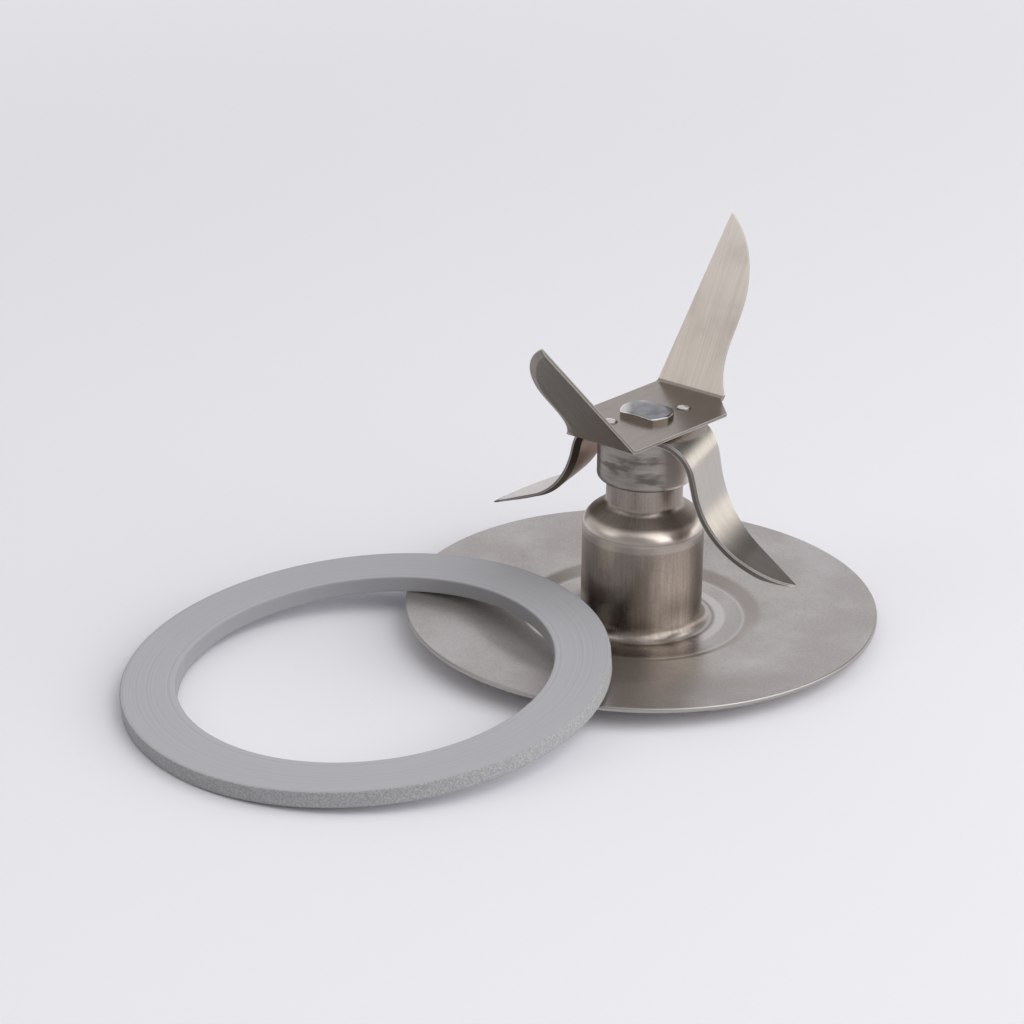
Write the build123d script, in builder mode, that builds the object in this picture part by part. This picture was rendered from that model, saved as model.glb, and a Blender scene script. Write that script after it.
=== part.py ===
"""Blender blade assembly: drawn steel base with a bearing tower, crossed blades on a shaft, sealing ring.

Millimetres. The shaft's axis is +Z, and z = 0 is the surface that the pressed channel of the base rests on.
"""

from build123d import *
import os
from math import asin, cos, radians, sin, sqrt, tan

os.makedirs("parts", exist_ok=True)

# Base plate: one deep-drawn sheet, from its clamping land to the neck of its tower
plate_diameter = 63.5
plate_sheet = 0.7
rim_height = 2.4
rim_edge_radius = 0.25
land_width = 7.5
land_bend_radius = 20.0
dish_drop = 0.9
dish_bend_radius = 1.6
channel_wall_run = 1.8
channel_bend_radius = 1.2
channel_width = 6.05
tower_radius = 8.15
tower_foot_radius = 1.6
shoulder_height = 15.3
shoulder_radius = 2.7
neck_radius = 5.12
neck_foot_height = 17.4
neck_foot_radius = 1.0
neck_top = 23.9

# Shaft and bearings
journal_diameter = 6.35
journal_clearance = 0.025
press_clearance = 0.02
seat_clearance = 0.05
axial_play = 0.05
cap_axial_gap = 0.15
upper_bushing_length = 8.6
shaft_seal_height = 0.9
oil_wick_height = 2.3
oil_wick_bore_clearance = 0.5
lower_bushing_length = 5.0
bottom_washer_thickness = 0.6
retainer_sheet = 0.7
retainer_skirt = 1.6
retainer_hole_clearance = 0.35
shoulder_diameter = 9.2
shoulder_thickness = 1.5
tang_width = 6.0
tang_corner_radius = 0.8
tang_chamfer = 0.5
top_washer_thickness = 0.4
tenon_diameter = 5.8
tenon_flats = 4.4
tenon_clearance = 0.02
head_diameter = 7.1
head_flats = 5.2
head_height = 1.05
head_dome_radius = 22.0
head_edge_radius = 0.3

# Slinger cap and spacer collar, turning with the shaft over the neck
cap_diameter = 12.8
cap_skirt_gap = 0.45
cap_skirt_overlap = 2.85
cap_top_thickness = 0.95
cap_foot_radius = 0.55
spacer_height = 2.95
crown_clearance = 0.25

# Lower blade: a strip bent down on both sides, then swept out again to a point
lower_azimuth = -20.0
lower_sheet = 0.85
lower_front = 6.76
lower_back = 4.38
lower_flat = 3.55
lower_bend_radius = 5.87
lower_bend_angle = 77.0
lower_shanks = (2.0, 0.85)
lower_sweep_radius = 13.0
lower_sweep_angle = 50.0
lower_turns = (0, 176)
lower_toes = (7.3, 8.5)
lower_tip_offsets = (3.58, 2.8)
lower_back_run = 6.7
lower_back_radius = 9.0
front_bevel = 0.22
back_bevel = 0.6
back_bevel_width = 1.5
toe_edge = 0.2
tip_grind_length = 4.5

# Upper blade: a flat bent up on both sides along its folds, with one wing steeper than the other
upper_azimuth = 55.6
upper_sheet = 0.45
upper_fold = 11.2
upper_fold_radius = 0.8
upper_wing_angles = (61.5, 48.2)
upper_straight_side = 6.05
upper_curved_side = 4.5
upper_corner_reach = 7.1
upper_corner_side = 7.9
wing_length = 24.4
wing_tip_side = 2.9
wing_waists = ((2.95, 7.2), (3.45, 5.3))
wing_bulges = ((3.24, 12.1), (3.89, 10.7))
wing_shoulders = ((2.0, 18.5), (2.2, 17.7))
wing_bevel_depth = 0.27
wing_bevel_width = 1.0
pip_diameter = 2.0
pip_height = 0.4
pip_reach = 5.05
pip_side = 2.38

# Sealing ring, leaning on the rim of the base, which itself leans away from it on its tang
ring_diameter = 63.5
ring_width = 7.3
ring_thickness = 2.2
ring_tower_gap = 2.1
ring_azimuth = 213.4
ground_lean = 1.4

# Heights that follow from the stack of pieces
plate_radius = plate_diameter / 2
journal_radius = journal_diameter / 2
land_radius = plate_radius - land_width
channel_radius = tower_radius + channel_width
dish_radius = channel_radius + channel_wall_run
dish_height = rim_height - dish_drop
tower_bore = tower_radius - plate_sheet
neck_bore = neck_radius - plate_sheet
seal_base = neck_top - shaft_seal_height
upper_bushing_base = seal_base - upper_bushing_length
wick_base = upper_bushing_base - oil_wick_height
lower_bushing_base = wick_base - lower_bushing_length
bottom_washer_base = lower_bushing_base - bottom_washer_thickness
shoulder_top = bottom_washer_base - axial_play
tang_top = shoulder_top - shoulder_thickness
ground_slope = tan(radians(ground_lean))
tang_end = -(channel_radius - tang_width / 2) * ground_slope
cap_seat = neck_top + top_washer_thickness + cap_axial_gap
cap_top = cap_seat + cap_top_thickness
spacer_top = cap_top + spacer_height
lower_blade_top = spacer_top + lower_sheet
upper_blade_top = lower_blade_top + upper_sheet
cap_radius = cap_diameter / 2

# The spacer's top slopes away under the bends of the lower blade
lower_skew = radians(lower_turns[0] + 180 - lower_turns[1])
crown_reach = lower_flat - cap_radius * tan(lower_skew)
under_bend = lower_bend_radius - lower_sheet
crown_drop = under_bend - sqrt(under_bend**2 - (cap_radius - crown_reach) ** 2) + crown_clearance


def double_d(diameter, flats):
    """A round section with two flats that face along the upper blade."""
    with BuildSketch(mode=Mode.PRIVATE) as section:
        Circle(diameter / 2)
        Rectangle(flats, 2 * diameter, rotation=upper_azimuth, mode=Mode.INTERSECT)
    return section.sketch


def tenon_hole():
    """The flatted hole that slides over the shaft's tenon."""
    return double_d(tenon_diameter + 2 * tenon_clearance, tenon_flats + 2 * tenon_clearance)


def round_sleeve(radius, bore, base, height):
    """A plain ring round the shaft's axis."""
    with BuildPart() as sleeve:
        with BuildSketch(Plane.XY.offset(base)):
            Circle(radius)
            Circle(bore, mode=Mode.SUBTRACT)
        extrude(amount=height)
    return sleeve


def finish(piece, name):
    """Labels a finished piece and writes its file."""
    piece.part.label = name
    export_step(piece.part, f"parts/{name}.step")


# Base plate: the section of the drawn sheet turned round the axis
with BuildPart() as base_plate:
    with BuildSketch(Plane.XZ):
        with BuildLine():
            FilletPolyline(
                (neck_radius, neck_top),
                (neck_radius, neck_foot_height),
                (tower_radius, shoulder_height),
                (tower_radius, plate_sheet),
                (channel_radius, plate_sheet),
                (dish_radius, dish_height),
                (land_radius, rim_height),
                (plate_radius, rim_height),
                radius=[
                    neck_foot_radius,
                    shoulder_radius,
                    tower_foot_radius,
                    channel_bend_radius,
                    dish_bend_radius,
                    land_bend_radius,
                ],
            )
            offset(amount=plate_sheet, side=Side.RIGHT)
        make_face()
    revolve(axis=Axis.Z)
    rim_edges = base_plate.edges().filter_by(GeomType.CIRCLE).sort_by(lambda e: e.radius)[-2:]
    fillet(rim_edges, rim_edge_radius)
finish(base_plate, "base_plate")

# Bearings, felt and seal inside the tower
upper_bushing = round_sleeve(
    neck_bore - press_clearance,
    journal_radius + journal_clearance,
    upper_bushing_base,
    upper_bushing_length,
)
finish(upper_bushing, "upper_bushing")

shaft_seal = round_sleeve(
    neck_bore - press_clearance,
    journal_radius + journal_clearance,
    seal_base,
    shaft_seal_height,
)
finish(shaft_seal, "shaft_seal")

oil_wick = round_sleeve(
    neck_bore,
    journal_radius + oil_wick_bore_clearance,
    wick_base,
    oil_wick_height,
)
finish(oil_wick, "oil_wick")

lower_bushing = round_sleeve(
    tower_bore - press_clearance,
    journal_radius + journal_clearance,
    lower_bushing_base,
    lower_bushing_length,
)
finish(lower_bushing, "lower_bushing")

top_thrust_washer = round_sleeve(
    neck_radius,
    journal_radius + journal_clearance,
    neck_top,
    top_washer_thickness,
)
finish(top_thrust_washer, "top_thrust_washer")

bottom_thrust_washer = round_sleeve(
    shoulder_diameter / 2,
    journal_radius + journal_clearance,
    bottom_washer_base,
    bottom_washer_thickness,
)
finish(bottom_thrust_washer, "bottom_thrust_washer")

# Bearing retainer: a pressed cup that holds the lower bushing up in the tower
retainer_radius = tower_bore - press_clearance
with BuildPart() as bearing_retainer:
    with BuildSketch(Plane.XY.offset(lower_bushing_base)):
        Circle(retainer_radius)
        Circle(shoulder_diameter / 2 + retainer_hole_clearance, mode=Mode.SUBTRACT)
    extrude(amount=-retainer_sheet)
    with BuildSketch(Plane.XY.offset(lower_bushing_base - retainer_sheet)):
        Circle(retainer_radius)
        Circle(retainer_radius - retainer_sheet, mode=Mode.SUBTRACT)
    extrude(amount=-retainer_skirt)
finish(bearing_retainer, "bearing_retainer")

# Drive shaft: square tang, shoulder, journal, flatted tenon and the domed, peened head
with BuildPart() as drive_shaft:
    with BuildSketch(Plane.XY.offset(tang_end)):
        RectangleRounded(tang_width, tang_width, tang_corner_radius)
    extrude(amount=tang_top - tang_end)
    chamfer(drive_shaft.faces().sort_by(Axis.Z)[0].edges(), tang_chamfer)
    with BuildSketch(Plane.XY.offset(tang_top)):
        Circle(shoulder_diameter / 2)
    extrude(amount=shoulder_thickness)
    with BuildSketch(Plane.XY.offset(shoulder_top)):
        Circle(journal_radius)
    extrude(amount=cap_seat - shoulder_top)
    with BuildSketch(Plane.XY.offset(cap_seat)):
        add(double_d(tenon_diameter, tenon_flats))
    extrude(amount=upper_blade_top - cap_seat)
    with BuildSketch(Plane.XY.offset(upper_blade_top)):
        add(double_d(head_diameter, head_flats))
    extrude(amount=head_height)
    with BuildSketch(Plane.XZ):
        with Locations((head_diameter / 2, upper_blade_top + head_height)):
            Rectangle(head_diameter, head_height)
        with Locations((0, upper_blade_top + head_height - head_dome_radius)):
            Circle(head_dome_radius, mode=Mode.SUBTRACT)
    revolve(axis=Axis.Z, mode=Mode.SUBTRACT)
    fillet(drive_shaft.faces().sort_by(Axis.Z)[-1].edges(), head_edge_radius)
finish(drive_shaft, "drive_shaft")

# Slinger cap: an inverted cup whose skirt hangs over the neck
with BuildPart() as slinger_cap:
    with BuildSketch(Plane.XY.offset(cap_top)):
        Circle(cap_radius)
    extrude(amount=neck_top - cap_skirt_overlap - cap_top)
    fillet(slinger_cap.faces().sort_by(Axis.Z)[0].edges(), cap_foot_radius)
    with BuildSketch(Plane.XY.offset(cap_seat)):
        Circle(neck_radius + cap_skirt_gap)
    extrude(amount=neck_top - cap_skirt_overlap - cap_seat, mode=Mode.SUBTRACT)
    with BuildSketch(Plane.XY.offset(cap_top)):
        add(tenon_hole())
    extrude(amount=-cap_top_thickness, mode=Mode.SUBTRACT)
finish(slinger_cap, "slinger_cap")

# Spacer collar: its top falls away on two sides, under the bends of the lower blade
lower_direction = Vector(1, 0, 0).rotate(Axis.Z, lower_azimuth)
lower_across = Vector(0, 1, 0).rotate(Axis.Z, lower_azimuth)
with BuildPart() as spacer_collar:
    with BuildSketch(Plane.XY.offset(cap_top)):
        Circle(cap_radius)
    extrude(amount=spacer_height)
    with BuildSketch(Plane(origin=(0, 0, spacer_top), x_dir=lower_direction, z_dir=-lower_across)):
        for side in (1, -1):
            Polygon(
                (side * crown_reach, 0),
                (side * cap_radius, 0),
                (side * cap_radius, -crown_drop),
                align=None,
            )
    extrude(amount=cap_radius, both=True, mode=Mode.SUBTRACT)
    with BuildSketch(Plane.XY.offset(cap_top)):
        add(tenon_hole())
    extrude(amount=spacer_height, mode=Mode.SUBTRACT)
finish(spacer_collar, "spacer_collar")


def lower_wing(turn, shank_length, toe_length, tip_offset):
    """One wing of the lower blade: a bent strip, trimmed to its outline from above, its toe ground."""
    outward = Vector(1, 0, 0).rotate(Axis.Z, lower_azimuth + turn)
    across = Vector(0, 1, 0).rotate(Axis.Z, lower_azimuth + turn)
    side_plane = Plane(origin=(0, 0, lower_blade_top), x_dir=outward, z_dir=-across)
    with BuildPart() as wing:
        with BuildSketch(side_plane):
            with BuildLine():
                bend = JernArc((lower_flat, 0), (1, 0), lower_bend_radius, -lower_bend_angle)
                shank = Line(bend @ 1, bend @ 1 + (bend % 1) * shank_length)
                sweep_out = JernArc(shank @ 1, shank % 1, lower_sweep_radius, lower_sweep_angle)
                toe = Line(sweep_out @ 1, sweep_out @ 1 + (sweep_out % 1) * toe_length)
                offset(amount=lower_sheet, side=Side.RIGHT)
            make_face()
        extrude(amount=max(lower_front, lower_back), both=True)
        tip = ((toe @ 1).X, -tip_offset)
        with BuildSketch(Plane(origin=(0, 0, 0), x_dir=outward, z_dir=(0, 0, 1))):
            with BuildLine():
                front_run = Line((lower_flat, -lower_front), ((toe @ 0).X, -lower_front))
                TangentArc(front_run @ 1, tip, tangent=front_run % 1)
                FilletPolyline(
                    tip,
                    (lower_back_run, lower_back),
                    (lower_flat, lower_back),
                    radius=lower_back_radius,
                )
                Line((lower_flat, lower_back), (lower_flat, -lower_front))
            make_face()
        extrude(amount=lower_blade_top, mode=Mode.INTERSECT)

        # Bevels along the whole of both edges, the front one from above and the back one from below
        middle = bend @ 0.5
        under = middle + (bend.arc_center - middle).normalized() * lower_sheet
        front_spot = side_plane.from_local_coords(Vector(middle.X, middle.Y, lower_front))
        back_spot = side_plane.from_local_coords(Vector(under.X, under.Y, -lower_back))
        back_edge = wing.edges().sort_by_distance(back_spot)[0]
        underside = wing.faces().sort_by_distance(side_plane.from_local_coords(under))[0]
        chamfer(wing.edges().sort_by_distance(front_spot)[0], front_bevel)
        chamfer(back_edge, back_bevel_width, back_bevel, reference=underside)

        # The tip, ground thin from below
        toe_line = toe % 1
        toe_up = Vector(-toe_line.Y, toe_line.X)
        with BuildSketch(side_plane):
            Polygon(
                toe @ 1 - toe_up * toe_edge,
                toe @ 1 - toe_line * tip_grind_length - toe_up * lower_sheet,
                toe @ 1 - toe_up * (2 * lower_sheet),
                align=None,
            )
        extrude(amount=lower_front, both=True, mode=Mode.SUBTRACT)
    return wing.part


# Lower blade: a flat with a wing on each side
with BuildPart() as lower_blade:
    with BuildSketch(Plane.XY.offset(lower_blade_top)):
        with BuildLine():
            Polyline(
                *[
                    Vector(lower_flat, side).rotate(Axis.Z, lower_azimuth + turn)
                    for turn in lower_turns
                    for side in (-lower_front, lower_back)
                ],
                close=True,
            )
        make_face()
    extrude(amount=-lower_sheet)
    for turn, shank_length, toe_length, tip_offset in zip(
        lower_turns, lower_shanks, lower_toes, lower_tip_offsets
    ):
        add(lower_wing(turn, shank_length, toe_length, tip_offset))
    with BuildSketch(Plane.XY.offset(lower_blade_top)):
        add(tenon_hole())
    extrude(amount=-lower_sheet, mode=Mode.SUBTRACT)
finish(lower_blade, "lower_blade")


def upper_wing(turn, angle, curve):
    """One wing of the upper blade with its fold: turn is its way round the axis, angle its bend up, and
    curve the points (out from the middle, up from the fold) of its curved side."""
    outward = Vector(1, 0, 0).rotate(Axis.Z, upper_azimuth + turn)
    across = Vector(0, 1, 0).rotate(Axis.Z, upper_azimuth + turn)
    bend_angle = radians(angle)
    fold_run = upper_fold_radius * tan(bend_angle / 2)
    fold_root = outward * (upper_fold - fold_run) + Vector(0, 0, upper_blade_top)
    fold_centre = fold_root + Vector(0, 0, upper_fold_radius)
    fold_width = upper_straight_side + upper_curved_side
    rise = outward * cos(bend_angle) + Vector(0, 0, sin(bend_angle))
    outer_normal = across.cross(rise)
    wing_plane = Plane(
        origin=fold_centre + outer_normal * upper_fold_radius,
        x_dir=across,
        z_dir=outer_normal,
    )
    tip = (wing_tip_side, wing_length - fold_run)
    curved_side = [(-side, height - fold_run) for side, height in curve]
    with BuildPart() as wing:
        with BuildSketch(wing_plane):
            with BuildLine():
                Line((upper_straight_side, 0), tip)
                Spline((-upper_curved_side, 0), *curved_side, tip)
                Line((-upper_curved_side, 0), (upper_straight_side, 0))
            make_face()
        extrude(amount=upper_sheet)
        outer_face = wing.faces().sort_by(Axis((0, 0, 0), outer_normal))[-1]
        chamfer(
            outer_face.edges().filter_by(GeomType.BSPLINE),
            length=wing_bevel_width,
            length2=wing_bevel_depth,
            reference=outer_face,
        )
        with BuildSketch(Plane(origin=fold_root, x_dir=across, z_dir=outward)):
            with Locations((upper_straight_side - fold_width / 2, -upper_sheet / 2)):
                Rectangle(fold_width, upper_sheet)
        revolve(axis=Axis(fold_centre, -across), revolution_arc=angle)
    return wing.part


# Upper blade: a flat with two pips, and on each side a rolled fold and a planar wing
fold_starts = [upper_fold - upper_fold_radius * tan(radians(a) / 2) for a in upper_wing_angles]
flat_plane = Plane(
    origin=(0, 0, lower_blade_top),
    x_dir=Vector(1, 0, 0).rotate(Axis.Z, upper_azimuth),
    z_dir=(0, 0, 1),
)
pip_ball_radius = (pip_diameter**2 / 4 + pip_height**2) / (2 * pip_height)
with BuildPart() as upper_blade:
    with BuildSketch(flat_plane):
        with BuildLine():
            Polyline(
                (fold_starts[0], upper_straight_side),
                (fold_starts[0], -upper_curved_side),
                (upper_corner_reach, -upper_corner_side),
                (-fold_starts[1], -upper_straight_side),
                (-fold_starts[1], upper_curved_side),
                (-upper_corner_reach, upper_corner_side),
                close=True,
            )
        make_face()
    extrude(amount=upper_sheet)
    wing_curves = zip(wing_waists, wing_bulges, wing_shoulders)
    for turn, angle, curve in zip((0, 180), upper_wing_angles, wing_curves):
        add(upper_wing(turn, angle, curve))
    for side in (1, -1):
        pip_spot = flat_plane.from_local_coords(Vector(side * pip_reach, -side * pip_side, upper_sheet))
        with BuildSketch(Plane(origin=pip_spot, x_dir=(1, 0, 0), z_dir=(0, -1, 0))):
            with BuildLine():
                Line((0, 0), (pip_diameter / 2, 0))
                RadiusArc((pip_diameter / 2, 0), (0, pip_height), -pip_ball_radius)
                Line((0, pip_height), (0, 0))
            make_face()
        revolve(axis=Axis(pip_spot, (0, 0, 1)))
    with BuildSketch(Plane.XY.offset(upper_blade_top)):
        add(tenon_hole())
    extrude(amount=-upper_sheet, mode=Mode.SUBTRACT)
finish(upper_blade, "upper_blade")

# Sealing ring: flat rubber, its low edge on the leaning ground and its bore's edge on the rim
ring_radius = ring_diameter / 2
ring_bore = ring_radius - ring_width
ring_distance = ring_radius + tower_radius + ring_tower_gap
ring_reach = (ring_distance**2 + ring_bore**2 - plate_radius**2) / (2 * ring_distance)
ground_drop = (channel_radius + ring_distance + ring_radius) * ground_slope
ring_tilt = asin((rim_height + seat_clearance + ground_drop) / (ring_radius + ring_reach))
ring_outward = Vector(1, 0, 0).rotate(Axis.Z, ring_azimuth)
ring_centre = ring_outward * ring_distance + Vector(0, 0, ring_radius * sin(ring_tilt) - ground_drop)
ring_plane = Plane(
    origin=ring_centre,
    x_dir=ring_outward * -cos(ring_tilt) + Vector(0, 0, sin(ring_tilt)),
    z_dir=ring_outward * sin(ring_tilt) + Vector(0, 0, cos(ring_tilt)),
)
with BuildPart() as sealing_ring:
    with BuildSketch(ring_plane):
        Circle(ring_radius)
        Circle(ring_bore, mode=Mode.SUBTRACT)
    extrude(amount=ring_thickness)
finish(sealing_ring, "sealing_ring")
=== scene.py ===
from math import cos, pi, radians, sin, tan

import bpy
import numpy as np
from mathutils import Matrix, Vector


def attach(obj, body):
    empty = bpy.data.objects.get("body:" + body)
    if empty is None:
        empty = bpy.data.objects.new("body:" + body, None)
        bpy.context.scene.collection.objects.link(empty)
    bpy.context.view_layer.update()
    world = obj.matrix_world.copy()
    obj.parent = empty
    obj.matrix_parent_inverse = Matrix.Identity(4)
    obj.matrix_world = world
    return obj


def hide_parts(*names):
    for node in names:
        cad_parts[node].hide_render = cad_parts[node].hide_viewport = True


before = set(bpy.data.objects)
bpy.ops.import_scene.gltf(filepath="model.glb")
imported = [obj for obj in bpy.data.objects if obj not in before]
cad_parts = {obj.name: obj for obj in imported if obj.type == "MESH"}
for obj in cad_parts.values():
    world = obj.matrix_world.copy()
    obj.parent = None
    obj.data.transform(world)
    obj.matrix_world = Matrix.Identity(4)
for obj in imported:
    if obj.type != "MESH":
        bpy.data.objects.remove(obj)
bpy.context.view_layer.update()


# Base plate: one stainless disc with the bearing tower drawn up out of its middle in a press.
# The flat keeps the mill's satin grain; the tower is browner, where the sheet was stretched and
# heated by the die, with faint upright drawing lines and a rubbed band under its shoulder.
# Painted light lies on top: a painted reflection of the tower on the channel floor in front of it,
# painted shade on the channel wall and in the crease under the shoulder, and painted highlights
# on the shoulder, round the tower's foot, right of the foot and round the channel's edge.
MM = 0.001
noise_span, noise_core = (0.3, 0.7), (0.35, 0.65)


def new_finish(name, roughness, metallic=1.0):
    """An empty finish: a material with one shader, whose even values are set here."""
    finish = bpy.data.materials.new(name)
    finish.use_nodes = True
    shader = finish.node_tree.nodes["Principled BSDF"]
    shader.inputs["Metallic"].default_value = metallic
    shader.inputs["Roughness"].default_value = roughness
    return finish


def add(finish, kind, sockets=(), **settings):
    """Adds one node to a finish. Each socket gets a value, or another node's output to follow."""
    node = finish.node_tree.nodes.new(kind)
    for key, value in settings.items():
        setattr(node, key, value)
    for key, value in dict(sockets).items():
        if isinstance(value, bpy.types.NodeSocket):
            finish.node_tree.links.new(value, node.inputs[key])
        else:
            node.inputs[key].default_value = value
    return node


def feed(finish, **outputs):
    """Leads node outputs into the shader's sockets, such as base_color, roughness or normal."""
    shader = finish.node_tree.nodes["Principled BSDF"]
    for key, output in outputs.items():
        finish.node_tree.links.new(output, shader.inputs[key.replace("_", " ").title()])


def maths(finish, operation, first, second):
    """Two numbers put together by a Math node's operation."""
    return add(finish, "ShaderNodeMath", {0: first, 1: second}, operation=operation).outputs[0]


def total(finish, first, second):
    """Two numbers added."""
    return maths(finish, "ADD", first, second)


def product(finish, first, second):
    """Two numbers multiplied."""
    return maths(finish, "MULTIPLY", first, second)


def vectors(finish, operation, *inputs):
    """Vectors put together by a Vector Math node's operation: a vector, or else the number that a
    length or a dot product gives."""
    sockets = dict(enumerate(inputs))
    outputs = add(finish, "ShaderNodeVectorMath", sockets, operation=operation).outputs
    return outputs["Value" if operation in ("LENGTH", "DOT_PRODUCT") else "Vector"]


def place(finish):
    """The point on the piece, in the part's own frame in metres."""
    return add(finish, "ShaderNodeTexCoord").outputs["Object"]


def coordinate(finish, where, axis):
    """The point's X, Y or Z; Z is its height along the shaft."""
    return add(finish, "ShaderNodeSeparateXYZ", {0: where}).outputs[axis]


def off_axis(finish, where):
    """The point's level offset from the upright axis."""
    return vectors(finish, "MULTIPLY", where, (1.0, 1.0, 0.0))


def from_axis(finish, where):
    """How far the point is from the upright axis."""
    return vectors(finish, "LENGTH", off_axis(finish, where))


def cloud(finish, where, size, detail=4.0, crispness=0.5):
    """Soft noise from 0 to 1 whose lumps are about `size` metres across. Most of its values lie
    within noise_core, and nearly all within noise_span."""
    sockets = {"Vector": where, "Scale": 1.0 / size, "Detail": detail, "Roughness": crispness}
    return add(finish, "ShaderNodeTexNoise", sockets).outputs["Fac"]


def streaks(finish, where, width, height, radius):
    """Noise drawn out round the axis: its lumps are `width` wide at that radius, `height` high."""
    steep = (0.0, 0.0, width / (height * radius))
    outward = vectors(finish, "NORMALIZE", off_axis(finish, where))
    path = vectors(finish, "ADD", outward, vectors(finish, "MULTIPLY", where, steep))
    return cloud(finish, path, width / radius)


def between(finish, value, low, high, to_low, to_high):
    """A smooth step of the value, from to_low where it is low to to_high where it is high."""
    sockets = {"Value": value, "From Min": low, "From Max": high}
    sockets |= {"To Min": to_low, "To Max": to_high}
    step = add(finish, "ShaderNodeMapRange", sockets, interpolation_type="SMOOTHSTEP")
    return step.outputs["Result"]


def rising(finish, value, low, high, share=1.0):
    """0 where the value is low, smoothly up to `share` where it is high."""
    return between(finish, value, low, high, 0.0, share)


def fading(finish, value, low, high, share=1.0):
    """`share` where the value is low, smoothly down to 0 where it is high."""
    return between(finish, value, low, high, share, 0.0)


def band(finish, value, low, high, fade):
    """1 where the value is from low to high, fading to 0 over `fade` on both sides."""
    past_low = rising(finish, value, low - fade, low)
    return product(finish, past_low, fading(finish, value, high, high + fade))


def mixed(finish, share, first, second, blend="MIX"):
    """The first colour where share is 0, and where it is 1 the second, or the two multiplied
    when the blend is MULTIPLY."""
    sockets = {0: share, 6: first, 7: second}
    return add(finish, "ShaderNodeMix", sockets, data_type="RGBA", blend_type=blend).outputs[2]


def coated(finish, tone, mask, colour, share):
    """The tone with that share of a colour laid over it where the mask is 1."""
    return mixed(finish, product(finish, mask, share), tone, colour)


def relief(finish, height, depth):
    """A bumped normal from a height of 0 to 1 that stands `depth` metres proud at 1."""
    return add(finish, "ShaderNodeBump", {"Height": height, "Distance": depth}).outputs["Normal"]


def dress(node, finish):
    """Gives a CAD node its finish."""
    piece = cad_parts[node]
    if piece.material_slots:
        piece.material_slots[0].material = finish
    else:
        piece.data.materials.append(finish)


tower_radius = 8.15 * MM
tower_reach, tower_foot = (9.0 * MM, 12.0 * MM), (8.95 * MM, 9.4 * MM, 0.35 * MM)
highlight_ring, highlight_side = (10.3 * MM, 11.1 * MM, 0.6 * MM), (4.0 * MM, 9.0 * MM)
channel_floor, reflection_front = (13.0 * MM, 14.2 * MM), (-13.0 * MM, -8.0 * MM)
channel_line, channel_wall = (13.75 * MM, 13.9 * MM, 0.25 * MM), (14.5 * MM, 15.6 * MM, 0.9 * MM)
smooth_middle, sheared_rim = (12.5 * MM, 14.5 * MM), (31.45 * MM, 31.65 * MM)
rubbed_band, die_crease = (13.2 * MM, 14.2 * MM, 0.35 * MM), (14.25 * MM, 14.35 * MM, 0.1 * MM)
shoulder_highlight_band, cone_band = (14.7 * MM, 15.6 * MM, 0.5 * MM), (15.6 * MM, 17.2 * MM, 0.4 * MM)
haze_size, grain_size, grain_depth = 9.0 * MM, 0.34 * MM, 0.002 * MM
line_width, line_height = 0.3 * MM, 7.0 * MM
tarnish_width, tarnish_height, tarnish_span = 3.5 * MM, 8.0 * MM, (0.5, 0.75)
satin_light, satin_dark = (0.66, 0.635, 0.62, 1), (0.51, 0.477, 0.452, 1)
tower_light, tower_dark = (0.37, 0.32, 0.282, 1), (0.28, 0.24, 0.21, 1)
tarnish_and_reflection_tone, crease_shade_tone = (0.235, 0.195, 0.167, 1), (0.18, 0.15, 0.13, 1)
rubbed_tone, shoulder_highlight_tone = (0.47, 0.42, 0.38, 1), (0.74, 0.67, 0.61, 1)
channel_wall_shade_tone, highlight_tone = (0.4, 0.35, 0.315, 1), (0.8, 0.765, 0.74, 1)
rim_tone = (0.42, 0.4, 0.385, 1)
satin_roughness, smoother_by = (0.31, 0.38), 0.08
line_span, line_roughness, cone_roughness = (0.2, 0.8), (0.02, 0.07), 0.14

drawn_steel = new_finish("drawn_steel", 0.3)
where = place(drawn_steel)
height = coordinate(drawn_steel, where, "Z")
radius = from_axis(drawn_steel, where)
haze = cloud(drawn_steel, where, haze_size, detail=6.0, crispness=0.6)
grain = cloud(drawn_steel, where, grain_size, detail=3.0)
lines = streaks(drawn_steel, where, line_width, line_height, tower_radius)
tarnish = streaks(drawn_steel, where, tarnish_width, tarnish_height, tower_radius)
on_tower = fading(drawn_steel, radius, *tower_reach)
crease = band(drawn_steel, height, *die_crease)

hazy = rising(drawn_steel, haze, *noise_core, share=0.55)
grainy = rising(drawn_steel, grain, *noise_span, share=0.45)
flat_tone = mixed(drawn_steel, total(drawn_steel, hazy, grainy), satin_light, satin_dark)
# Painted reflection: the channel floor in front of the tower is darkened with the tower's brown,
# which it mirrors.
in_front = fading(drawn_steel, coordinate(drawn_steel, where, "Y"), *reflection_front, share=0.75)
stain_and_reflection = product(drawn_steel, fading(drawn_steel, radius, *channel_floor), in_front)
flat_tone = mixed(drawn_steel, stain_and_reflection, flat_tone, tarnish_and_reflection_tone)
# Painted shade: the channel wall is darkened in a brownish band all round.
channel_wall_shade = band(drawn_steel, radius, *channel_wall)
flat_tone = coated(drawn_steel, flat_tone, channel_wall_shade, channel_wall_shade_tone, share=0.6)
# Painted highlight: a thin bright line round the channel's edge.
channel_line_highlight = band(drawn_steel, radius, *channel_line)
flat_tone = coated(drawn_steel, flat_tone, channel_line_highlight, highlight_tone, share=0.4)
flat_tone = mixed(drawn_steel, rising(drawn_steel, radius, *sheared_rim), flat_tone, rim_tone)

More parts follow.
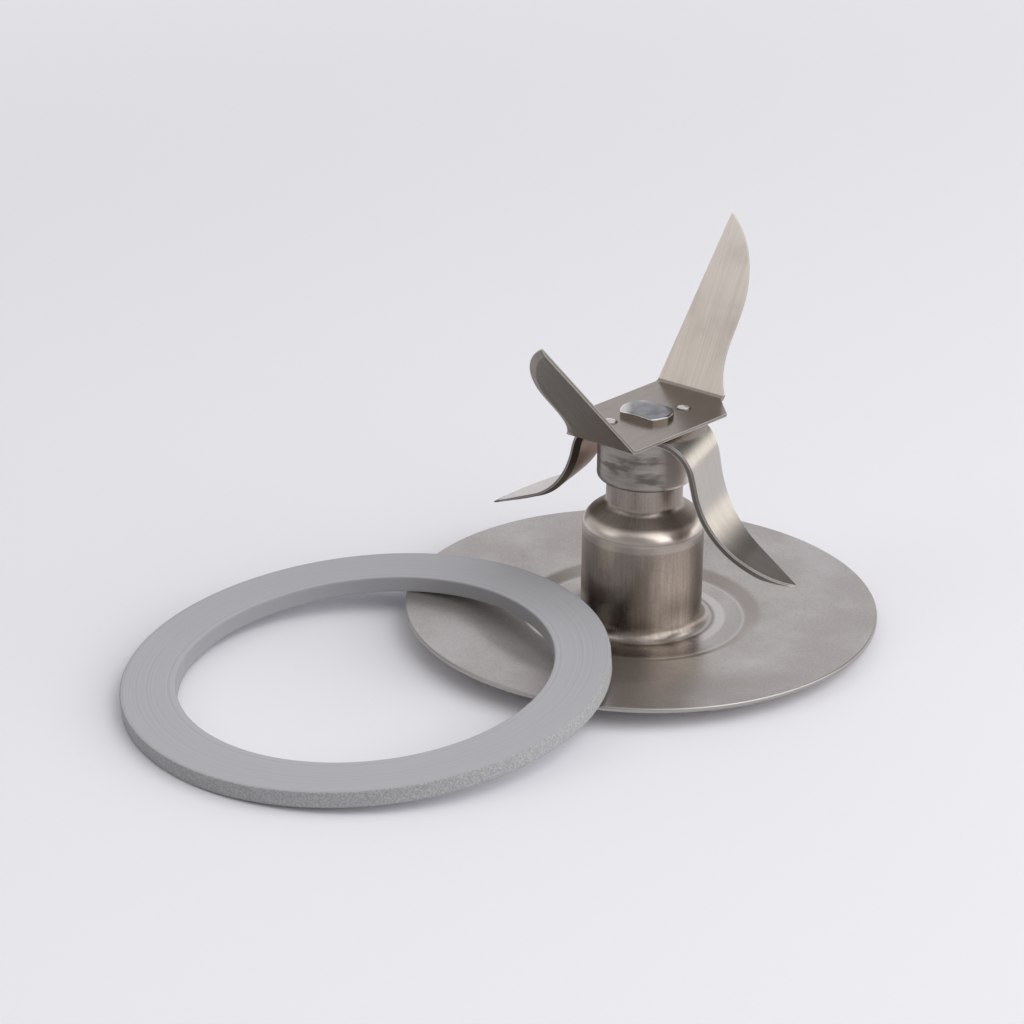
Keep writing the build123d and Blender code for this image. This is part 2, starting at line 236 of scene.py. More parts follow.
lined = rising(drawn_steel, lines, *noise_span, share=0.6)
grainy = rising(drawn_steel, grain, *noise_span, share=0.4)
tower_tone = mixed(drawn_steel, total(drawn_steel, lined, grainy), tower_light, tower_dark)
tarnished = rising(drawn_steel, tarnish, *tarnish_span, share=0.6)
tower_tone = mixed(drawn_steel, tarnished, tower_tone, tarnish_and_reflection_tone)
rubbed = band(drawn_steel, height, *rubbed_band)
tower_tone = coated(drawn_steel, tower_tone, rubbed, rubbed_tone, share=0.6)
# Painted highlight: the shoulder is made much lighter all round, where it catches the light.
shoulder_highlight = band(drawn_steel, height, *shoulder_highlight_band)
tower_tone = coated(drawn_steel, tower_tone, shoulder_highlight, shoulder_highlight_tone, share=0.8)
# Painted shade in the crease under the shoulder; the crease's own dent is the bump further down.
tower_tone = coated(drawn_steel, tower_tone, crease, crease_shade_tone, share=0.3)

plate_tone = mixed(drawn_steel, on_tower, flat_tone, tower_tone)
# Painted highlights: a bright crescent right of the tower's foot, and a bright line round the
# foot's rounding.
on_right = rising(drawn_steel, coordinate(drawn_steel, where, "X"), *highlight_side, share=0.8)
right_foot_highlight = product(drawn_steel, band(drawn_steel, radius, *highlight_ring), on_right)
foot_highlight = product(drawn_steel, band(drawn_steel, radius, *tower_foot), 0.55)
painted_highlights = maths(drawn_steel, "MAXIMUM", foot_highlight, right_foot_highlight)
feed(drawn_steel, base_color=mixed(drawn_steel, painted_highlights, plate_tone, highlight_tone))

flat_roughness = between(drawn_steel, haze, *noise_span, *satin_roughness)
smoother = between(drawn_steel, radius, *smooth_middle, -smoother_by, 0.0)
flat_roughness = total(drawn_steel, flat_roughness, smoother)
tower_roughness = between(drawn_steel, lines, *line_span, *line_roughness)
on_cone = product(drawn_steel, band(drawn_steel, height, *cone_band), cone_roughness)
rougher = product(drawn_steel, total(drawn_steel, tower_roughness, on_cone), on_tower)
feed(drawn_steel, roughness=total(drawn_steel, flat_roughness, rougher))
tower_marks = product(drawn_steel, maths(drawn_steel, "SUBTRACT", lines, crease), on_tower)
feed(drawn_steel, normal=relief(drawn_steel, total(drawn_steel, grain, tower_marks), grain_depth))
dress("base_plate", drawn_steel)


# Bushings: two sintered bronze sleeves pressed into the tower, which carry the shaft.
# The sintered metal is full of fine pores that hold oil, so it is matt and speckled.
sinter_size, pore_size, pore_depth = 2.5 * MM, 0.18 * MM, 0.02 * MM
pore_edge, pore_span, bronze_roughness = (0.58, 0.72), (0.4, 0.75), (0.36, 0.62)
bronze_light, bronze_dark = (0.62, 0.42, 0.22, 1), (0.52, 0.34, 0.17, 1)
pore_tone = (0.16, 0.1, 0.05, 1)

bronze = new_finish("bronze", 0.45)
where = place(bronze)
pores = cloud(bronze, where, pore_size, detail=3.0)
sintered = mixed(bronze, cloud(bronze, where, sinter_size), bronze_light, bronze_dark)
in_pore = rising(bronze, pores, *pore_edge)
feed(bronze, base_color=mixed(bronze, in_pore, sintered, pore_tone))
feed(bronze, roughness=between(bronze, pores, *pore_span, *bronze_roughness))
feed(bronze, normal=relief(bronze, pores, -pore_depth))
dress("upper_bushing", bronze)
dress("lower_bushing", bronze)


# Oil wick: a felt sleeve between the bushings that feeds them oil.
# Pressed wool, dark and soaked, with short fibres lying every way.
fibre_size, fibre_depth, soaked_size = 0.15 * MM, 0.12 * MM, 3.0 * MM
felt_roughness = (0.9, 0.65)
wool_dark, wool_light = (0.16, 0.14, 0.11, 1), (0.34, 0.31, 0.26, 1)
oil_tone = (0.1, 0.085, 0.06, 1)

felt = new_finish("felt", 0.85, metallic=0.0)
where = place(felt)
fibres = cloud(felt, where, fibre_size, detail=6.0, crispness=0.7)
soaked = cloud(felt, where, soaked_size)
wool_tone = mixed(felt, fibres, wool_dark, wool_light)
feed(felt, base_color=mixed(felt, soaked, wool_tone, oil_tone))
feed(felt, roughness=between(felt, soaked, *noise_span, *felt_roughness))
feed(felt, normal=relief(felt, fibres, fibre_depth))
dress("oil_wick", felt)


# Shaft seal: a moulded black rubber lip seal in the neck, above the upper bushing.
# Matt nitrile rubber with a faint bloom and the mould's fine grain.
bloom_size, mould_size, mould_depth = 1.6 * MM, 0.12 * MM, 0.01 * MM
bloom_span, nitrile_roughness = (0.4, 0.75), (0.5, 0.72)
nitrile_tone, bloom_tone = (0.018, 0.018, 0.019, 1), (0.045, 0.045, 0.047, 1)

black_rubber = new_finish("black_rubber", 0.6, metallic=0.0)
where = place(black_rubber)
bloom = cloud(black_rubber, where, bloom_size, detail=5.0)
bloomed = rising(black_rubber, bloom, *bloom_span)
feed(black_rubber, base_color=mixed(black_rubber, bloomed, nitrile_tone, bloom_tone))
feed(black_rubber, roughness=between(black_rubber, bloom, *noise_span, *nitrile_roughness))
mould_grain = cloud(black_rubber, where, mould_size)
feed(black_rubber, normal=relief(black_rubber, mould_grain, mould_depth))
dress("shaft_seal", black_rubber)


# Thrust washers: two thin punched discs of oil-filled nylon, one at each end of the bushings.
# Cream plastic, darkened by oil in patches, with fine turned rubbing marks.
oil_size, rubbing_spacing, rubbing_depth = 2.2 * MM, 0.12 * MM, 0.006 * MM
oil_span, nylon_roughness = (0.35, 0.7), (0.5, 0.28)
nylon_tone, oiled_tone = (0.72, 0.68, 0.56, 1), (0.45, 0.37, 0.24, 1)


def fine_rings(finish, distance, spacing):
    """Noise along one number only, so a radius gives rings and a height gives turned lines."""
    sockets = {"W": distance, "Scale": 1.0 / spacing, "Detail": 3.0}
    return add(finish, "ShaderNodeTexNoise", sockets, noise_dimensions="1D").outputs["Fac"]


washer_plastic = new_finish("washer_plastic", 0.4, metallic=0.0)
where = place(washer_plastic)
oil = cloud(washer_plastic, where, oil_size)
oiled = rising(washer_plastic, oil, *oil_span)
feed(washer_plastic, base_color=mixed(washer_plastic, oiled, nylon_tone, oiled_tone))
feed(washer_plastic, roughness=between(washer_plastic, oil, *noise_span, *nylon_roughness))
rubbing = fine_rings(washer_plastic, from_axis(washer_plastic, where), rubbing_spacing)
feed(washer_plastic, normal=relief(washer_plastic, rubbing, rubbing_depth))
dress("top_thrust_washer", washer_plastic)
dress("bottom_thrust_washer", washer_plastic)


# Bearing retainer: a zinc-plated pressed cup that closes the tower from below and holds the lower
# bushing. Bright plating with a slightly milky, bluish cast and faint blotches.
blotch_size, plating_size, plating_depth = 2.0 * MM, 0.3 * MM, 0.004 * MM
blotch_span, plating_roughness = (0.35, 0.7), (0.24, 0.42)
zinc_light, zinc_dark = (0.68, 0.69, 0.7, 1), (0.5, 0.5, 0.51, 1)

plated_steel = new_finish("plated_steel", 0.3)
where = place(plated_steel)
blotches = cloud(plated_steel, where, blotch_size, detail=5.0, crispness=0.6)
blotched = rising(plated_steel, blotches, *blotch_span)
feed(plated_steel, base_color=mixed(plated_steel, blotched, zinc_light, zinc_dark))
feed(plated_steel, roughness=between(plated_steel, blotches, *noise_span, *plating_roughness))
plating = cloud(plated_steel, where, plating_size)
feed(plated_steel, normal=relief(plated_steel, plating, plating_depth))
dress("bearing_retainer", plated_steel)


# Drive shaft: a turned and ground stainless bar with a square drive tang below and a riveted head
# above. The head is polished dark and nearly to a mirror, with a painted highlight on its left,
# and all its sides carry painted shade, darker and browner than its top; the journal has fine
# grinding rings round it.
up, down = (0.0, 0.0, 1.0), (0.0, 0.0, -1.0)
ground_spacing, ground_depth, dulling_size = 0.08 * MM, 0.004 * MM, 1.8 * MM
dulling_span, dulled_span, polish_roughness = (0.35, 0.7), (0.3, 0.75), (0.1, 0.2)
head_highlight_side, top_facing = (-3.1 * MM, -1.7 * MM), (0.1, 0.6)
polish_light, polish_dark = (0.36, 0.365, 0.385, 1), (0.24, 0.243, 0.26, 1)
head_highlight_tone, side_shade_tone = (0.82, 0.81, 0.8, 1), (0.2, 0.175, 0.15, 1)


def facing(finish, direction):
    """How squarely a surface faces a direction of the part's frame: 1 at it, -1 away from it."""
    own_normal = add(finish, "ShaderNodeTexCoord").outputs["Normal"]
    return vectors(finish, "DOT_PRODUCT", own_normal, direction)


shaft_steel = new_finish("shaft_steel", 0.16)
where = place(shaft_steel)
ground_rings = fine_rings(shaft_steel, coordinate(shaft_steel, where, "Z"), ground_spacing)
dulling = cloud(shaft_steel, where, dulling_size, detail=5.0)
dull_share = rising(shaft_steel, dulling, *dulling_span)
polish_tone = mixed(shaft_steel, dull_share, polish_light, polish_dark)
# Painted highlight: the left part of the head is made bright.
head_highlight = fading(shaft_steel, coordinate(shaft_steel, where, "X"), *head_highlight_side)
polish_tone = mixed(shaft_steel, head_highlight, polish_tone, head_highlight_tone)
# Painted shade: faces that don't face up get the dark brown side tone.
on_top = rising(shaft_steel, facing(shaft_steel, up), *top_facing)
feed(shaft_steel, base_color=mixed(shaft_steel, on_top, side_shade_tone, polish_tone))
feed(shaft_steel, roughness=between(shaft_steel, dulling, *dulled_span, *polish_roughness))
ground_marks = total(shaft_steel, ground_rings, dulling)
feed(shaft_steel, normal=relief(shaft_steel, ground_marks, ground_depth))
dress("drive_shaft", shaft_steel)


# Slinger cap and spacer collar: two turned stainless rings that stack between the neck and the
# blades. Their walls keep the lathe's fine lines, smeared round with dark stains from handling
# and washing, and their right side carries a painted highlight.
cap_radius = 6.4 * MM
smear_width, smear_height, patch_height = 4.0 * MM, 0.6 * MM, 1.8 * MM
scuff_width, scuff_height = 0.12 * MM, 1.0 * MM
turning_spacing, turning_depth = 0.1 * MM, 0.003 * MM
stain_span, collar_light_side, collar_roughness = (0.72, 0.92), (2.0 * MM, 4.5 * MM), (0.36, 0.48)
turned_light, turned_dark = (0.37, 0.34, 0.315, 1), (0.3, 0.277, 0.257, 1)
stain_tone, collar_highlight_tone = (0.17, 0.153, 0.142, 1), (0.93, 0.87, 0.835, 1)

collar_steel = new_finish("collar_steel", 0.3)
where = place(collar_steel)
turning = fine_rings(collar_steel, coordinate(collar_steel, where, "Z"), turning_spacing)
smears = streaks(collar_steel, where, smear_width, smear_height, cap_radius)
patches = streaks(collar_steel, where, smear_width, patch_height, cap_radius)
scuffs = streaks(collar_steel, where, scuff_width, scuff_height, cap_radius)
smeared = rising(collar_steel, smears, *noise_core, share=0.7)
scuffed = rising(collar_steel, scuffs, *noise_core, share=0.3)
turned_share = total(collar_steel, smeared, scuffed)
turned_tone = mixed(collar_steel, turned_share, turned_light, turned_dark)
stains = total(collar_steel, patches, product(collar_steel, smears, 0.5))
stain_and_reflection = rising(collar_steel, stains, *stain_span)
turned_tone = mixed(collar_steel, stain_and_reflection, turned_tone, stain_tone)
# Painted highlight: the right side of the collar is made nearly white.
collar_highlight = rising(collar_steel, coordinate(collar_steel, where, "X"), *collar_light_side)
feed(collar_steel, base_color=mixed(collar_steel, collar_highlight, turned_tone, collar_highlight_tone))
feed(collar_steel, roughness=between(collar_steel, smears, *noise_span, *collar_roughness))
turned_marks = total(collar_steel, turning, scuffs)
feed(collar_steel, normal=relief(collar_steel, turned_marks, turning_depth))
dress("slinger_cap", collar_steel)
dress("spacer_collar", collar_steel)


# Lower blade: a strip of hard stainless, blanked, ground to an edge, then folded down into two
# swept wings. Its faces are brushed along their length. Painted shade lies on the faces along its
# edges and on its points, painted highlights along its sharp edges, and its underside is browner
# left of the shaft and painted lighter right of it.
lower_blade_azimuth = radians(-20.0)
fine_width, fine_length, fine_depth = 0.07 * MM, 14.0 * MM, 0.004 * MM
broad_width, broad_length = 0.6 * MM, 22.0 * MM
smudge_size, smudge_span = 6.0 * MM, (0.5, 0.8)
back_facing, edge_facing, underside_light_side = (0.05, 0.2), (0.08, 0.22), (-4.0 * MM, 4.0 * MM)
glint_width, glint_agreement = 0.3 * MM, (0.85, 0.985)
gloss_span, blade_roughness, edge_roughness = (0.7, 1.4), (0.19, 0.28), 0.15
blade_points = (22.6 * MM, 23.2 * MM)
brushed_light, brushed_dark = (0.55, 0.51, 0.47, 1), (0.48, 0.442, 0.405, 1)
smudge_tone, glint_tone = (0.42, 0.385, 0.355, 1), (0.72, 0.69, 0.65, 1)
lower_edge_shade_tone, underside_tone = (0.17, 0.155, 0.145, 1), (0.48, 0.405, 0.37, 1)
underside_light_tone, brushed_shade = (0.8, 0.765, 0.73, 1), (0.74, 0.74, 0.74, 1)
untinted = (1.0, 1.0, 1.0, 1)


def brushed(finish, azimuth, across, along):
    """Noise drawn out along a blade at that azimuth: fine across it, long along it and up it."""
    sockets = {"Vector": place(finish), "Rotation": (0.0, 0.0, azimuth)}
    sockets["Scale"] = (along, across, along)
    turned = add(finish, "ShaderNodeMapping", sockets, vector_type="TEXTURE").outputs[0]
    return cloud(finish, turned, 1.0)


def edge_glints(finish, width):
    """1 along the sharp edges and 0 away from them: there the normal, rounded off over that
    width, leaves the surface's own."""
    rounded = add(finish, "ShaderNodeBevel", {"Radius": width}, samples=8).outputs["Normal"]
    plain = add(finish, "ShaderNodeNewGeometry").outputs["Normal"]
    return fading(finish, vectors(finish, "DOT_PRODUCT", rounded, plain), *glint_agreement)


def blade_finish(name, azimuth, edge_shade_tone, back_tone):
    """Brushed blade steel, and its colour, which is still to be fed: fine lines along the blade,
    faint smudges, painted shade on the faces along its edges, the tone of its back, painted
    lighter right of the shaft, and painted highlights along its sharp edges."""
    finish = new_finish(name, 0.26)
    where = place(finish)
    fine = brushed(finish, azimuth, fine_width, fine_length)
    broad = brushed(finish, azimuth, broad_width, broad_length)
    smudge = cloud(finish, where, smudge_size)
    fine_share = rising(finish, fine, *noise_span, share=0.6)
    broad_share = rising(finish, broad, *noise_span, share=0.4)
    line_share = total(finish, fine_share, broad_share)
    tone = mixed(finish, line_share, brushed_light, brushed_dark)
    tone = mixed(finish, rising(finish, smudge, *smudge_span, share=0.6), tone, smudge_tone)

    on_back = rising(finish, facing(finish, down), *back_facing)
    # Painted light: the back right of the shaft is made much lighter.
    underside_light = rising(finish, coordinate(finish, where, "X"), *underside_light_side)
    back_tone = mixed(finish, underside_light, back_tone, underside_light_tone)
    back_tone = mixed(finish, line_share, back_tone, brushed_shade, "MULTIPLY")
    tone = mixed(finish, on_back, tone, back_tone)
    feed(finish, specular_tint=mixed(finish, on_back, untinted, back_tone))

    # Painted shade: faces along the edges, which face sideways, get the dark edge tone.
    edgewise = facing(finish, (-sin(azimuth), cos(azimuth), 0.0))
    on_edge = rising(finish, product(finish, edgewise, edgewise), *edge_facing)
    tone = mixed(finish, on_edge, tone, edge_shade_tone)
    # Painted highlights along the sharp edges.
    tone = coated(finish, tone, edge_glints(finish, glint_width), glint_tone, share=0.7)

    gloss = between(finish, total(finish, smudge, fine), *gloss_span, *blade_roughness)
    rougher = product(finish, on_edge, edge_roughness)
    feed(finish, roughness=total(finish, gloss, rougher))
    feed(finish, normal=relief(finish, fine, fine_depth))
    return finish, tone


lower_steel, lower_tone = blade_finish(
    "lower_blade_steel", lower_blade_azimuth, lower_edge_shade_tone, underside_tone
)
# Painted shade: the blade's points are darkened with the edge tone.
point_shade = rising(lower_steel, from_axis(lower_steel, place(lower_steel)), *blade_points)
feed(lower_steel, base_color=mixed(lower_steel, point_shade, lower_tone, lower_edge_shade_tone))
dress("lower_blade", lower_steel)


# Upper blade: a thinner stainless strip on top of the lower one, with its two wings folded up.
# It is brushed along its own length; its thin edges carry painted shade, its inner faces are
# dulled towards the middle, and each of the two half-pierced pips beside the head carries a
# painted highlight on its top and a ring of painted shadow round its foot.
upper_blade_azimuth = radians(55.6)
dulled_wing, inner_facing = (31.0 * MM, 62.0 * MM), (0.0, 0.1)
pip_reach, pip_side = 5.05 * MM, 2.38 * MM
pip_top, pip_foot = (0.7 * MM, 0.9 * MM), (0.9 * MM, 1.0 * MM, 0.15 * MM)
upper_edge_shade_tone, wing_back_tone = (0.3, 0.272, 0.245, 1), (0.53, 0.5, 0.475, 1)
dulled_shade = (0.85, 0.832, 0.815, 1)
pip_highlight_tone, pip_shadow_tone = (0.86, 0.83, 0.8, 1), (0.16, 0.14, 0.13, 1)

upper_steel, upper_tone = blade_finish(
    "upper_blade_steel", upper_blade_azimuth, upper_edge_shade_tone, wing_back_tone
)
where = place(upper_steel)
low_down = fading(upper_steel, coordinate(upper_steel, where, "Z"), *dulled_wing)
inside = rising(upper_steel, facing(upper_steel, up), *inner_facing)
dulled = product(upper_steel, low_down, inside)
upper_tone = mixed(upper_steel, dulled, upper_tone, dulled_shade, "MULTIPLY")
lengthwise = Vector((cos(upper_blade_azimuth), sin(upper_blade_azimuth), 0.0))
sidewise = Vector((-sin(upper_blade_azimuth), cos(upper_blade_azimuth), 0.0))
for end in (1, -1):
    pip_spot = end * (lengthwise * pip_reach - sidewise * pip_side)
    from_pip = from_axis(upper_steel, vectors(upper_steel, "SUBTRACT", where, pip_spot))
    # Painted shadow round each pip's foot, and a painted highlight on its top.
    pip_shadow = band(upper_steel, from_pip, *pip_foot)
    upper_tone = mixed(upper_steel, pip_shadow, upper_tone, pip_shadow_tone)
    pip_highlight = fading(upper_steel, from_pip, *pip_top)
    upper_tone = mixed(upper_steel, pip_highlight, upper_tone, pip_highlight_tone)
feed(upper_steel, base_color=upper_tone)
dress("upper_blade", upper_steel)


# Sealing ring: a flat grey rubber gasket, lathe-cut from a moulded tube, leaning on the plate's
# rim. Its top carries the knife's fine rings, its outer wall the tube's rough skin; being soft,
# its back sags a little between the ground and the rim.
ring_radius, ring_bore = 31.75 * MM, 24.45 * MM
ring_thickness, ring_corner = 2.2 * MM, 0.18 * MM
ring_centre = Vector((-35.06, -23.12, 0.905)) * MM
ring_azimuth, ring_tilt = radians(213.4), radians(5.5)
sag_azimuth, sag_depth = radians(140.0), 0.45 * MM
corner_points, side_points, ring_turns = 5, 12, 360
skin_reach = (ring_radius - 0.25 * MM, ring_radius - 0.05 * MM)
bore_reach = (ring_bore + 0.05 * MM, ring_bore + 0.25 * MM)
knife_spacing, skin_size, shade_size, mark_depth = 0.35 * MM, 0.26 * MM, 12.0 * MM, 0.03 * MM
skin_span, rubber_roughness = (0.4, 0.65), (0.55, 0.7)
cut_light, cut_dark = (0.47, 0.47, 0.495, 1), (0.43, 0.43, 0.455, 1)
skin_dark, skin_light = (0.28, 0.28, 0.29, 1), (0.41, 0.41, 0.41, 1)
bore_tone = (0.315, 0.315, 0.33, 1)


def ring_section(inner, outer, thickness, corner, per_corner, per_side):
    """The gasket's cut section as a closed loop of (radius, height): a rectangle from inner to
    outer with quarter-circle corners, each its centre + corner * (cos a, sin a) over a right
    angle, and points spread evenly along the sides between them."""
    swing = np.linspace(0.0, pi / 2, per_corner)
    centres = np.array(
        [
            [outer - corner, corner],
            [outer - corner, thickness - corner],
            [inner + corner, thickness - corner],
            [inner + corner, corner],
        ]
    )
    starts = np.array([-pi / 2, 0.0, pi / 2, pi])
    angles = starts[:, None] + swing
    corners = centres[:, None, :] + corner * np.stack([np.cos(angles), np.sin(angles)], axis=-1)
    ahead = np.roll(corners[:, 0], -1, axis=0)
    share = np.linspace(0.0, 1.0, per_side + 2)[1:-1, None]
    sides = corners[:, -1][:, None, :] * (1 - share) + ahead[:, None, :] * share
    return np.concatenate([corners, sides], axis=1).reshape(-1, 2)


def swept_round(section, turns):
    """A section of (r, z) carried once round the upright axis, closed on itself: point (i, j) is
    (r_j cos a_i, r_j sin a_i, z_j), where a_i is i of `turns` equal steps. Gives the points and
    the four-sided faces."""
    angle = np.arange(turns) * 2 * pi / turns
    points = np.stack(
        [
            np.cos(angle)[:, None] * section[:, 0],
            np.sin(angle)[:, None] * section[:, 0],
            np.broadcast_to(section[:, 1], (turns, len(section))),
        ],
        axis=-1,
    ).reshape(-1, 3)
    steps = np.arange(turns)[:, None]
    around = np.arange(len(section))[None, :]
    here = steps * len(section) + around
    beside = (steps + 1) % turns * len(section) + around
    above = steps * len(section) + (around + 1) % len(section)
    beside_above = (steps + 1) % turns * len(section) + (around + 1) % len(section)
    return points, np.stack([here, beside, beside_above, above], axis=-1).reshape(-1, 4)


def sag(points, azimuth, depth):
    """How far each point of an upright ring sags: depth * max(cos(a - azimuth), 0) ** 2, where a
    is the point's own angle round the axis."""
    bearing = np.arctan2(points[:, 1], points[:, 0]) - azimuth
    return depth * np.maximum(np.cos(bearing), 0.0) ** 2


def smooth_piece(name, points, faces, finish):
    """A smooth-shaded mesh object of those points and faces, at the origin, in one finish."""
    mesh = bpy.data.meshes.new(name)
    mesh.from_pydata(points.tolist(), [], faces.tolist())
    mesh.shade_smooth()
    mesh.materials.append(finish)
    piece = bpy.data.objects.new(name, mesh)
    bpy.context.scene.collection.objects.link(piece)
    return piece


to_azimuth = Matrix.Rotation(ring_azimuth, 3, "Z")
lean = to_azimuth @ Matrix.Rotation(ring_tilt, 3, "Y") @ to_azimuth.transposed()
section = ring_section(
    ring_bore, ring_radius, ring_thickness, ring_corner, corner_points, side_points
)
upright_points, ring_faces = swept_round(section, ring_turns)
ring_points = upright_points @ np.array(lean).T + np.array(ring_centre)
ring_points[:, 2] -= sag(upright_points, sag_azimuth, sag_depth)

grey_rubber = new_finish("grey_rubber", 0.62, metallic=0.0)
sockets = {"Vector": place(grey_rubber), "Location": ring_centre, "Rotation": lean.to_euler()}
where = add(grey_rubber, "ShaderNodeMapping", sockets, vector_type="TEXTURE").outputs[0]
radius = from_axis(grey_rubber, where)
knife_rings = fine_rings(grey_rubber, radius, knife_spacing)
skin = cloud(grey_rubber, where, skin_size, detail=3.0, crispness=0.7)
shade = cloud(grey_rubber, where, shade_size)
on_wall = rising(grey_rubber, radius, *skin_reach)
in_bore = fading(grey_rubber, radius, *bore_reach)
cut_share = rising(grey_rubber, knife_rings, *noise_span)
cut_tone = mixed(grey_rubber, cut_share, cut_light, cut_dark)
cut_tone = mixed(grey_rubber, in_bore, cut_tone, bore_tone)
skin_tone = mixed(grey_rubber, rising(grey_rubber, skin, *skin_span), skin_dark, skin_light)
feed(grey_rubber, base_color=mixed(grey_rubber, on_wall, cut_tone, skin_tone))
feed(grey_rubber, roughness=between(grey_rubber, shade, *noise_span, *rubber_roughness))
ring_marks = mixed(grey_rubber, on_wall, knife_rings, skin)
feed(grey_rubber, normal=relief(grey_rubber, ring_marks, mark_depth))

gasket = smooth_piece("gasket", ring_points, ring_faces, grey_rubber)
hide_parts("sealing_ring")
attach(gasket, "base")


# Floor: the pale table the parts lie on. The assembly stands on its drive tang and the pressed
# channel's edge, so it leans a little away from the ring, and in its own frame the table leans
# instead. Near the parts the table takes their shadow; further out it is an even pale tone.
foot_radius = 14.2 * MM
table_lean, table_azimuth = radians(1.4), radians(33.4)
table_size, table_gap, shadow_reach = 4.0, 0.01 * MM, (0.15, 0.45)
near_tone, far_tone = (0.865, 0.863, 0.903, 1), (0.8, 0.795, 0.84, 1)
unlit = (0.0, 0.0, 0.0, 1)

corners = np.array([[-1.0, -1.0, 0.0], [1.0, -1.0, 0.0], [1.0, 1.0, 0.0], [-1.0, 1.0, 0.0]])
table_points = corners * table_size / 2
uphill = table_points[:, 0] * cos(table_azimuth) + table_points[:, 1] * sin(table_azimuth)
table_points[:, 2] = (uphill - foot_radius) * tan(table_lean) - table_gap
table_paint = new_finish("table_paint", 0.9, metallic=0.0)
far = rising(table_paint, from_axis(table_paint, place(table_paint)), *shadow_reach)
feed(table_paint, base_color=mixed(table_paint, far, near_tone, unlit))
table_shader = table_paint.node_tree.nodes["Principled BSDF"]
table_shader.inputs["Specular IOR Level"].default_value = 0.0
table_shader.inputs["Emission Color"].default_value = far_tone
rays = add(table_paint, "ShaderNodeLightPath").outputs
seen = maths(table_paint, "MAXIMUM", rays["Is Camera Ray"], rays["Is Glossy Ray"])
feed(table_paint, emission_strength=product(table_paint, seen, far))
table = smooth_piece("table", table_points, np.array([[0, 1, 2, 3]]), table_paint)


# Studio light: a strong wide softbox on the right, a weaker one on the left, and a low fill on the
# right that the steel doesn't mirror. Round them the room is pale behind the table, dim where the
# camera stands and dark in the far right corner, and the bare steel mirrors all of it.
lamp_distance = 1.0
ceiling_edge = (0.68, 0.9)
dim_tone, ceiling_tone = (0.31, 0.302, 0.3, 1), (0.61, 0.602, 0.602, 1)
left_wall_tone, back_wall_tone = (0.5, 0.49, 0.485, 1), (0.66, 0.65, 0.675, 1)
horizon_tone, corner_tone = (1.55, 1.53, 1.55, 1), (1.5, 1.47, 1.41, 1)
dark_tone = (0.13, 0.126, 0.126, 1)


def softbox(name, bearing, height, width, depth, power):
    """A square-on soft lamp, seen from the part at that bearing (degrees to the right of straight
    behind) and height (degrees)."""
    lamp = bpy.data.lights.new(name, "AREA")
    lamp.shape = "RECTANGLE"
    lamp.size = width
    lamp.size_y = depth
    lamp.energy = power
    lamp_stand = bpy.data.objects.new(name, lamp)
    turn, rise = radians(bearing), radians(height)
    outwards = Vector((sin(turn) * cos(rise), cos(turn) * cos(rise), sin(rise)))
    aimed = outwards.to_track_quat("Z", "Y").to_matrix().to_4x4()
    lamp_stand.matrix_world = Matrix.Translation(outwards * lamp_distance) @ aimed
    bpy.context.scene.collection.objects.link(lamp_stand)
    return lamp_stand


softbox("right_softbox", bearing=116.0, height=41.0, width=1.4, depth=1.15, power=8.7)
softbox("left_softbox", bearing=-108.0, height=33.0, width=0.5, depth=0.55, power=0.82)
low_fill = softbox("low_fill", bearing=100.0, height=18.0, width=0.9, depth=0.35, power=2.1)
low_fill.visible_glossy = False

room = bpy.data.worlds.new("room")
room.use_nodes = True
gaze = add(room, "ShaderNodeTexCoord").outputs["Generated"]
gaze_height = coordinate(room, gaze, "Z")
gaze_bearing = maths(room, "ARCTAN2", coordinate(room, gaze, "X"), coordinate(room, gaze, "Y"))


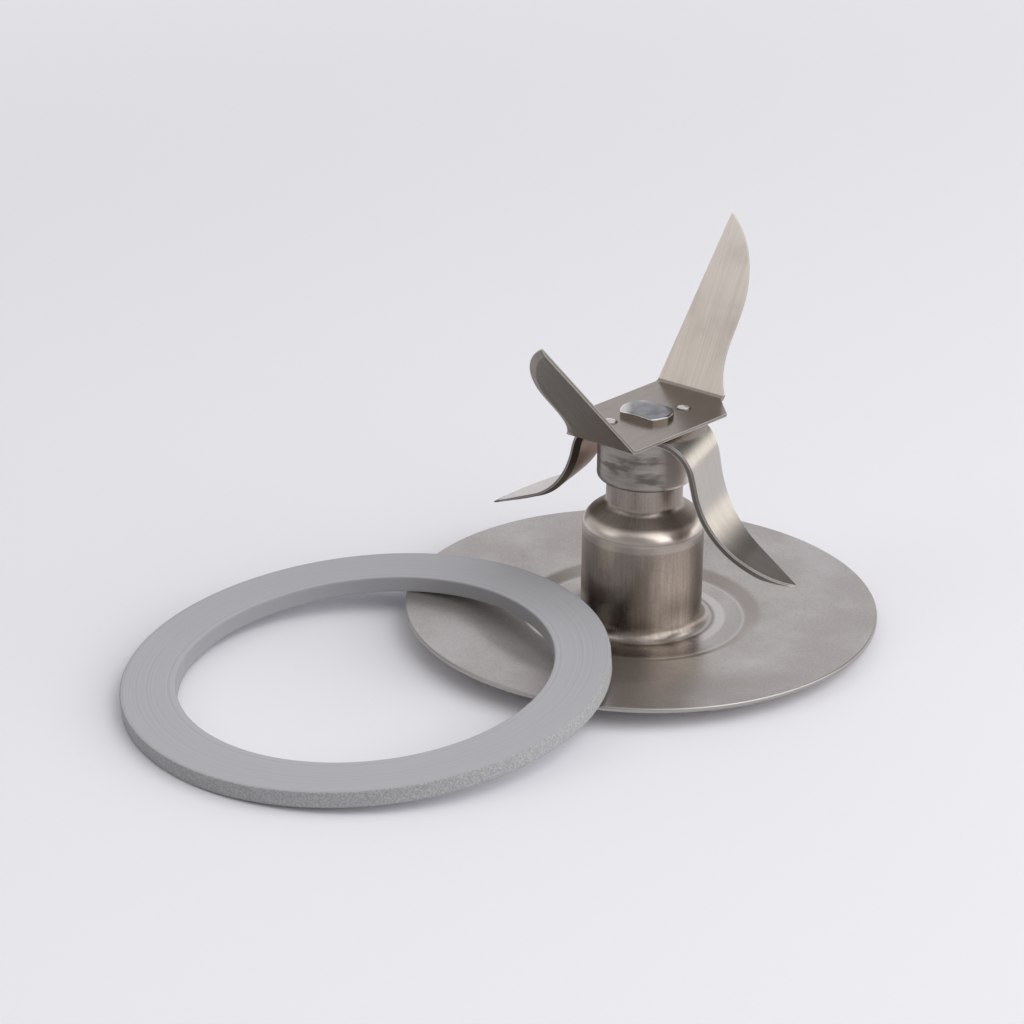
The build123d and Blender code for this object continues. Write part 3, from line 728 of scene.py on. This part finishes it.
def wall_panel(bearings, heights, soft):
    """A stretch of the room's wall: 1 inside those bearings and heights, in degrees, and fading
    out over `soft` degrees on both sides of each."""
    (left, right), (foot, head) = bearings, heights
    past_left = rising(room, gaze_bearing, radians(left - soft), radians(left + soft))
    before_right = fading(room, gaze_bearing, radians(right - soft), radians(right + soft))
    over_foot = rising(room, gaze_height, sin(radians(foot - soft)), sin(radians(foot + soft)))
    under_head = fading(room, gaze_height, sin(radians(head - soft)), sin(radians(head + soft)))
    between_sides = product(room, past_left, before_right)
    return product(room, between_sides, product(room, over_foot, under_head))


panels = (
    (left_wall_tone, (-85.0, -40.0), (-20.0, 55.0), 10.0),
    (back_wall_tone, (-45.0, 26.0), (-20.0, 48.0), 8.0),
    (horizon_tone, (-50.0, 30.0), (-20.0, 6.0), 4.0),
    (dark_tone, (28.0, 68.0), (20.0, 52.0), 5.0),
    (corner_tone, (26.0, 95.0), (-20.0, 16.0), 5.0),
)
room_tone = mixed(room, rising(room, gaze_height, *ceiling_edge), dim_tone, ceiling_tone)
for panel_tone, bearings, heights, soft in panels:
    room_tone = mixed(room, wall_panel(bearings, heights, soft), room_tone, panel_tone)
by_eye = add(room, "ShaderNodeLightPath").outputs["Is Camera Ray"]
backdrop = room.node_tree.nodes["Background"]
room.node_tree.links.new(mixed(room, by_eye, room_tone, far_tone), backdrop.inputs["Color"])
bpy.context.scene.world = room


# Camera: a long lens about half a metre away, looking down at the rim's centre, then turned and
# rolled by the small angles that put the part where the photograph has it.
view_elevation = radians(25.06)
view_distance, rim_height = 472.0 * MM, 2.4 * MM
view_yaw, view_pitch, view_roll = 0.0376, -0.0246, radians(1.89)
sensor_width = 36.0
lens_pixels, picture_pixels = 3500.0, 1024.0

eye = view_distance * Vector((0.0, -cos(view_elevation), sin(view_elevation)))
ahead = -eye.normalized()
rightward = Vector((1.0, 0.0, 0.0))
square_on = Matrix((rightward, ahead.cross(rightward), ahead))
aside = Matrix.Rotation(view_pitch, 3, "X") @ Matrix.Rotation(view_yaw, 3, "Y")
aim = Matrix.Rotation(view_roll, 3, "Z") @ aside @ square_on
lens = bpy.data.cameras.new("camera")
lens.sensor_width = sensor_width
lens.lens = sensor_width * (lens_pixels / picture_pixels)
camera = bpy.data.objects.new("camera", lens)
axes = Matrix((aim[0], -aim[1], -aim[2])).transposed()
camera.matrix_world = Matrix.Translation(eye + Vector((0.0, 0.0, rim_height))) @ axes.to_4x4()
bpy.context.scene.collection.objects.link(camera)
bpy.context.scene.camera = camera
bpy.context.scene.view_settings.view_transform = "Standard"
